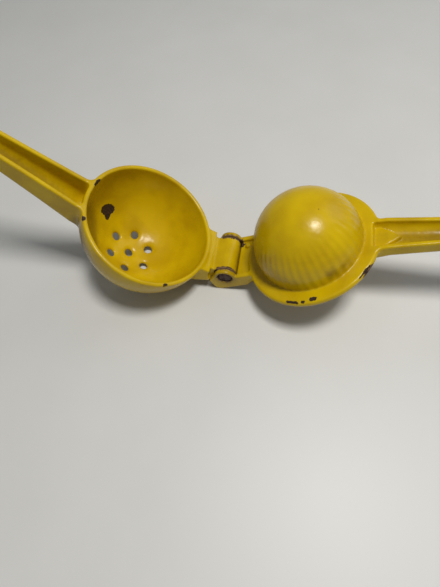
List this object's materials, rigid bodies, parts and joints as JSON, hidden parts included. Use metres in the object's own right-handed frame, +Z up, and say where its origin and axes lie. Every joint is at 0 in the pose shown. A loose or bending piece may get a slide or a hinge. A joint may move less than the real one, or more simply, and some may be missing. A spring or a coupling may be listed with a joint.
{
  "type": "hinged citrus hand press",
  "caption": "Hinged hand press for lemons: a strainer bowl and a fluted pressing dome, each cast with a channel handle, joined by a hinge pin.",
  "frame": {"origin": "the middle of the floor area that the open press covers, on the surface it stands on", "axes": "+Z up, the hinge pin along Y, +X towards the end of the dome's handle"},
  "size_m": [0.3534, 0.072, 0.1395],
  "materials": {
    "bowl_enamel": "glossy baked enamel, chipped to bare metal",
    "dome_enamel": "glossy baked enamel, chipped to bare metal",
    "pin_steel": "dull and browned with rust"
  },
  "bodies": {
    "dome_half": {"pressing_dome_half": "dome_enamel", "hinge_pin": "pin_steel"},
    "bowl_half": {"strainer_bowl_half": "bowl_enamel"}
  },
  "joints": [
    {"name": "hinge", "type": "hinge", "parent": "dome_half", "child": "bowl_half", "pos_m": [-0.01716, 0, 0.01159], "axis": [0, 1, 0], "range_deg": [0, 121.9]}
  ]
}
